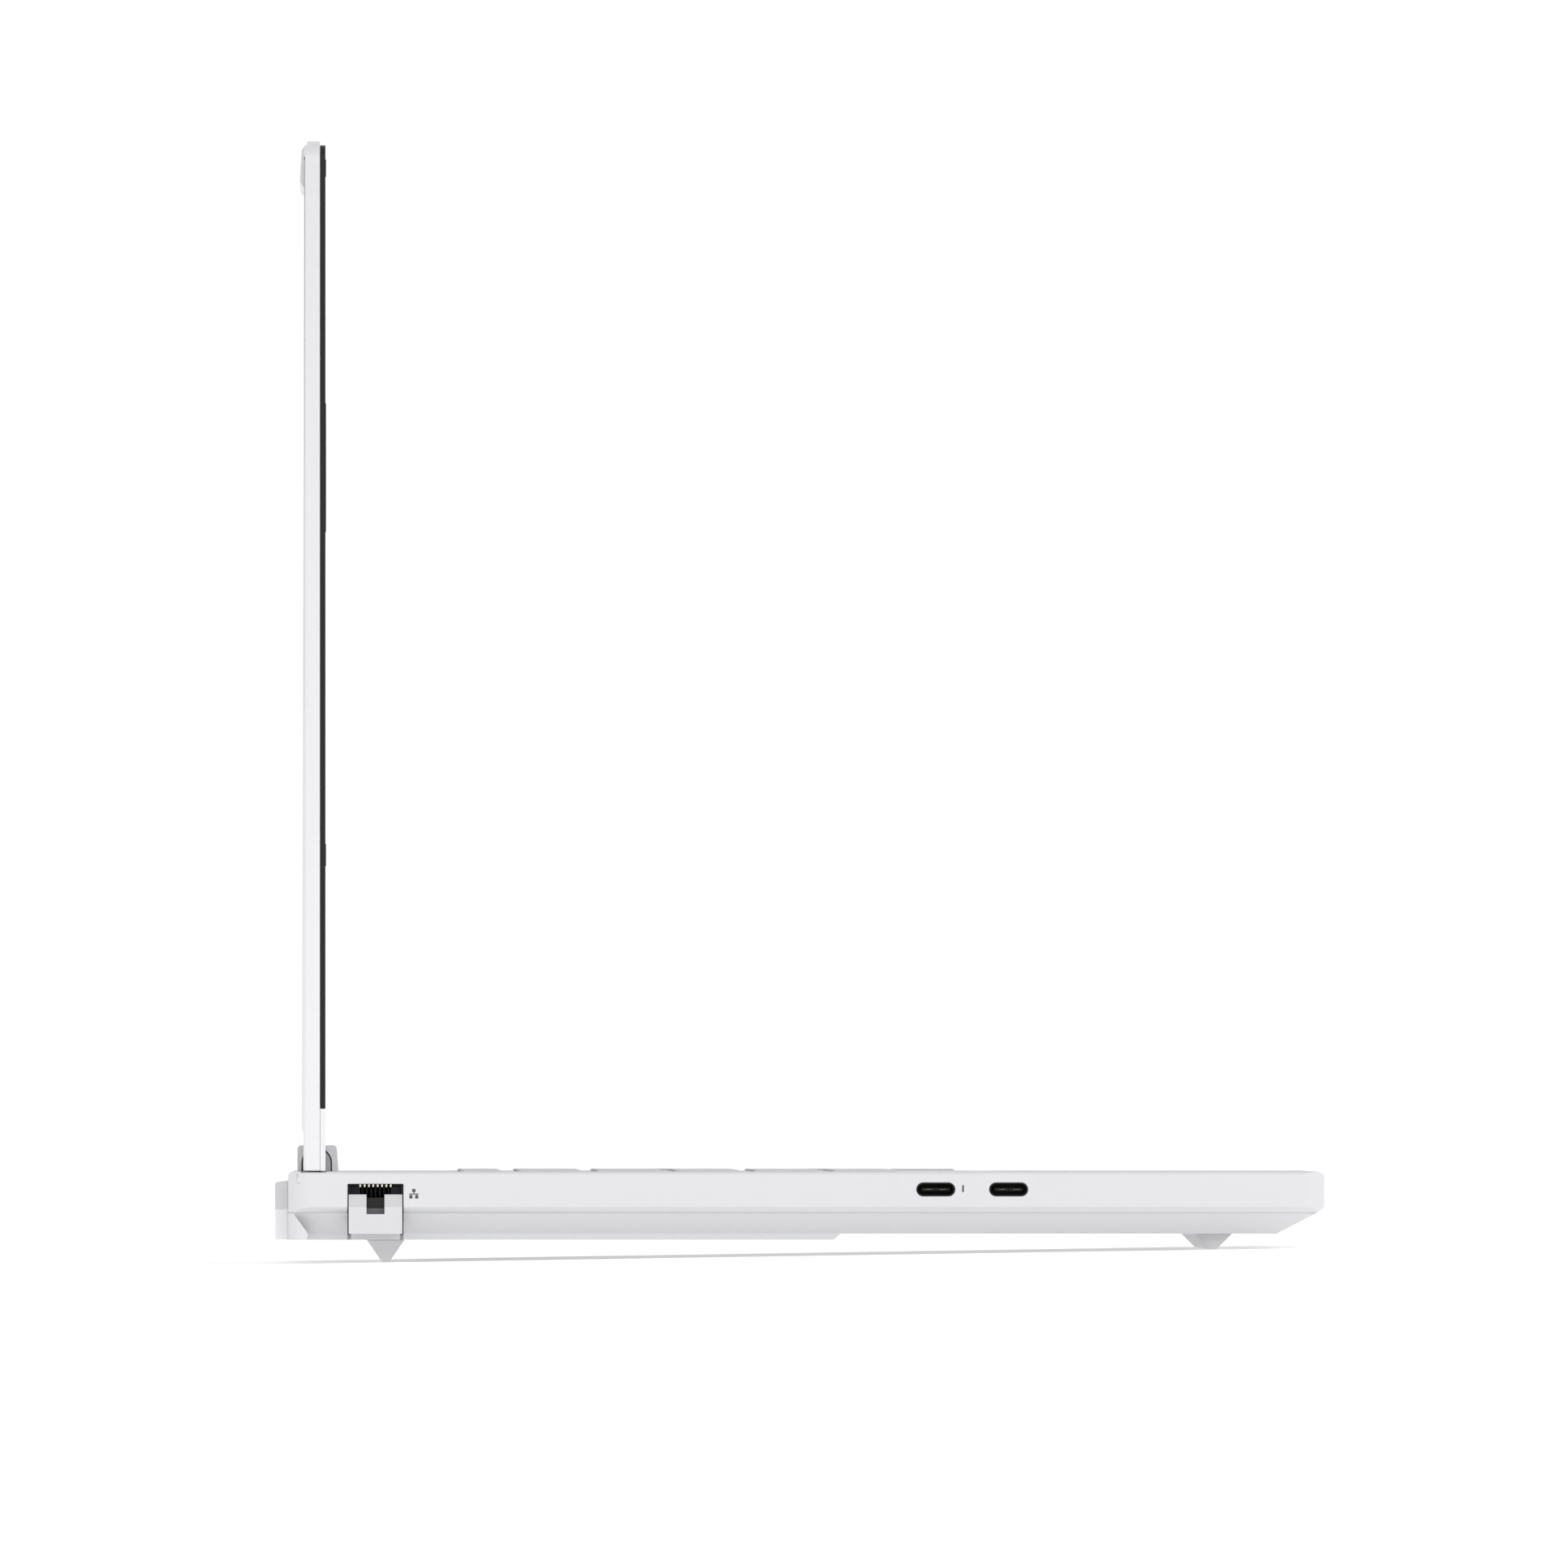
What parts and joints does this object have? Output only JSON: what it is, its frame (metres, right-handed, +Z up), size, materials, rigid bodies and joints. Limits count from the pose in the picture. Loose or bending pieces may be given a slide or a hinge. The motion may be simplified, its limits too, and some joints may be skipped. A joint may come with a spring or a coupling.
{
  "type": "laptop computer",
  "caption": "Slim light-grey clamshell laptop with an upright lid, hinge caps, full keyboard, touchpad, drop-jaw network socket and side sockets.",
  "frame": {"origin": "on the surface the computer stands on, at the centre of its overall box; the feet touch z = 0", "axes": "+X to the user's right, +Y to the rear, +Z up; the base slopes down to the front by 0.88 degrees because the rear foot is taller, and the lid stands square to the base"},
  "size_m": [0.344, 0.2466, 0.2648],
  "materials": {
    "top_shell": "satin",
    "bottom_shell": "satin",
    "lid_shell": "satin",
    "chin": "satin",
    "bezel": "satin",
    "screen": "anti-glare",
    "lattice": "matte",
    "key_cap": "matte",
    "touchpad": "satin",
    "button": "satin",
    "hinge_cap": "satin",
    "steel": "brushed",
    "rear_block": "satin",
    "socket_steel": "bright",
    "black_plastic": "matte",
    "foot_rubber": "matte",
    "bumper_rubber": "matte",
    "contact_gold": "bright",
    "jaw": "satin",
    "board": "satin",
    "copper": "satin",
    "fins": "bright"
  },
  "bodies": {
    "base": {"top_cover": "top_shell", "key_lattice": "lattice", "bottom_cover": "bottom_shell", "keyboard_plate": "steel", "rear_port_block": "rear_block", "rear_sockets": "socket_steel", "hinge_cap_left": "hinge_cap", "hinge_cap_right": "hinge_cap", "hinge_bracket_left": "steel", "hinge_bracket_right": "steel", "rear_foot": "foot_rubber", "front_foot": "foot_rubber", "bottom_screws": "steel", "main_board": "board", "chip_packages": "black_plastic", "memory_modules": "board", "solid_state_drive": "board", "wireless_card": "board", "battery_pack": "black_plastic", "speakers": "black_plastic", "heat_pipes": "copper", "fin_stacks": "fins", "fan_housing_left": "black_plastic", "fan_housing_right": "black_plastic", "network_jack": "black_plastic", "network_contacts": "contact_gold", "usb_c_shells": "socket_steel", "usb_c_tongues": "black_plastic", "side_socket": "socket_steel", "audio_jack": "black_plastic"},
    "lid": {"lid_cover": "lid_shell", "chin_cover": "chin", "display_bezel": "bezel", "display_panel": "screen", "camera_module": "black_plastic", "lid_bumpers": "bumper_rubber", "lid_arm_left": "steel", "lid_arm_right": "steel"},
    "fan_rotor_left": {"fan_rotor_left": "black_plastic"},
    "fan_rotor_right": {"fan_rotor_right": "black_plastic"},
    "network_jaw": {"network_jaw": "jaw"},
    "camera_switch": {"camera_switch": "button"},
    "power_button": {"power_button": "button"},
    "touchpad": {"touchpad": "touchpad"},
    "function_keys": {"function_keys": "key_cap"},
    "number_keys": {"number_keys": "key_cap"},
    "top_letter_keys": {"top_letter_keys": "key_cap"},
    "home_keys": {"home_keys": "key_cap"},
    "bottom_letter_keys": {"bottom_letter_keys": "key_cap"},
    "modifier_keys": {"modifier_keys": "key_cap"},
    "numpad_keys": {"numpad_keys": "key_cap"},
    "backspace_key": {"backspace_key": "key_cap"},
    "enter_key": {"enter_key": "key_cap"},
    "space_bar": {"space_bar": "key_cap"},
    "numpad_plus_key": {"numpad_plus_key": "key_cap"},
    "numpad_enter_key": {"numpad_enter_key": "key_cap"},
    "arrow_up_key": {"arrow_up_key": "key_cap"},
    "arrow_left_key": {"arrow_left_key": "key_cap"},
    "arrow_down_key": {"arrow_down_key": "key_cap"},
    "arrow_right_key": {"arrow_right_key": "key_cap"}
  },
  "joints": [
    {"name": "lid_hinge", "type": "hinge", "parent": "base", "child": "lid", "pos_m": [0, 0.11294, 0.02409], "axis": [-1, 0, 0], "range_deg": [-90, 38]},
    {"name": "fan_left_spin", "type": "hinge", "parent": "base", "child": "fan_rotor_left", "pos_m": [-0.1, 0.06411, 0.00979], "axis": [0, -0.0154, 0.9999], "continuous": true},
    {"name": "fan_right_spin", "type": "hinge", "parent": "base", "child": "fan_rotor_right", "pos_m": [0.1, 0.06411, 0.00979], "axis": [0, -0.0154, 0.9999], "continuous": true},
    {"name": "network_jaw_hinge", "type": "hinge", "parent": "base", "child": "network_jaw", "pos_m": [-0.1565, 0.09963, 0.00854], "axis": [0, -0.9999, -0.0154], "range_deg": [0, 17], "stiffness_Nm_per_rad": 0.02, "springref_deg": -11.46},
    {"name": "camera_switch_slide", "type": "slide", "parent": "base", "child": "camera_switch", "axis": [0, 0.9999, 0.0154], "range_m": [0, 0.002]},
    {"name": "power_button_press", "type": "slide", "parent": "base", "child": "power_button", "axis": [0, 0.0154, -0.9999], "range_m": [0, 0.0005], "stiffness_N_per_m": 600, "springref_m": -0.0006},
    {"name": "touchpad_click", "type": "hinge", "parent": "base", "child": "touchpad", "pos_m": [-0.029, -0.04703, 0.01778], "axis": [1, 0, 0], "range_deg": [0, 0.4], "stiffness_Nm_per_rad": 5, "springref_deg": -0.4},
    {"name": "function_keys_press", "type": "slide", "parent": "base", "child": "function_keys", "axis": [0, 0.0154, -0.9999], "range_m": [0, 0.0012], "stiffness_N_per_m": 400, "springref_m": -0.001},
    {"name": "number_keys_press", "type": "slide", "parent": "base", "child": "number_keys", "axis": [0, 0.0154, -0.9999], "range_m": [0, 0.0012], "stiffness_N_per_m": 400, "springref_m": -0.001},
    {"name": "top_letter_keys_press", "type": "slide", "parent": "base", "child": "top_letter_keys", "axis": [0, 0.0154, -0.9999], "range_m": [0, 0.0012], "stiffness_N_per_m": 400, "springref_m": -0.001},
    {"name": "home_keys_press", "type": "slide", "parent": "base", "child": "home_keys", "axis": [0, 0.0154, -0.9999], "range_m": [0, 0.0012], "stiffness_N_per_m": 400, "springref_m": -0.001},
    {"name": "bottom_letter_keys_press", "type": "slide", "parent": "base", "child": "bottom_letter_keys", "axis": [0, 0.0154, -0.9999], "range_m": [0, 0.0012], "stiffness_N_per_m": 400, "springref_m": -0.001},
    {"name": "modifier_keys_press", "type": "slide", "parent": "base", "child": "modifier_keys", "axis": [0, 0.0154, -0.9999], "range_m": [0, 0.0012], "stiffness_N_per_m": 400, "springref_m": -0.001},
    {"name": "numpad_keys_press", "type": "slide", "parent": "base", "child": "numpad_keys", "axis": [0, 0.0154, -0.9999], "range_m": [0, 0.0012], "stiffness_N_per_m": 400, "springref_m": -0.001},
    {"name": "backspace_key_press", "type": "slide", "parent": "base", "child": "backspace_key", "axis": [0, 0.0154, -0.9999], "range_m": [0, 0.0012], "stiffness_N_per_m": 400, "springref_m": -0.001},
    {"name": "enter_key_press", "type": "slide", "parent": "base", "child": "enter_key", "axis": [0, 0.0154, -0.9999], "range_m": [0, 0.0012], "stiffness_N_per_m": 400, "springref_m": -0.001},
    {"name": "space_bar_press", "type": "slide", "parent": "base", "child": "space_bar", "axis": [0, 0.0154, -0.9999], "range_m": [0, 0.0012], "stiffness_N_per_m": 400, "springref_m": -0.001},
    {"name": "numpad_plus_key_press", "type": "slide", "parent": "base", "child": "numpad_plus_key", "axis": [0, 0.0154, -0.9999], "range_m": [0, 0.0012], "stiffness_N_per_m": 400, "springref_m": -0.001},
    {"name": "numpad_enter_key_press", "type": "slide", "parent": "base", "child": "numpad_enter_key", "axis": [0, 0.0154, -0.9999], "range_m": [0, 0.0012], "stiffness_N_per_m": 400, "springref_m": -0.001},
    {"name": "arrow_up_key_press", "type": "slide", "parent": "base", "child": "arrow_up_key", "axis": [0, 0.0154, -0.9999], "range_m": [0, 0.0012], "stiffness_N_per_m": 400, "springref_m": -0.001},
    {"name": "arrow_left_key_press", "type": "slide", "parent": "base", "child": "arrow_left_key", "axis": [0, 0.0154, -0.9999], "range_m": [0, 0.0012], "stiffness_N_per_m": 400, "springref_m": -0.001},
    {"name": "arrow_down_key_press", "type": "slide", "parent": "base", "child": "arrow_down_key", "axis": [0, 0.0154, -0.9999], "range_m": [0, 0.0012], "stiffness_N_per_m": 400, "springref_m": -0.001},
    {"name": "arrow_right_key_press", "type": "slide", "parent": "base", "child": "arrow_right_key", "axis": [0, 0.0154, -0.9999], "range_m": [0, 0.0012], "stiffness_N_per_m": 400, "springref_m": -0.001}
  ]
}
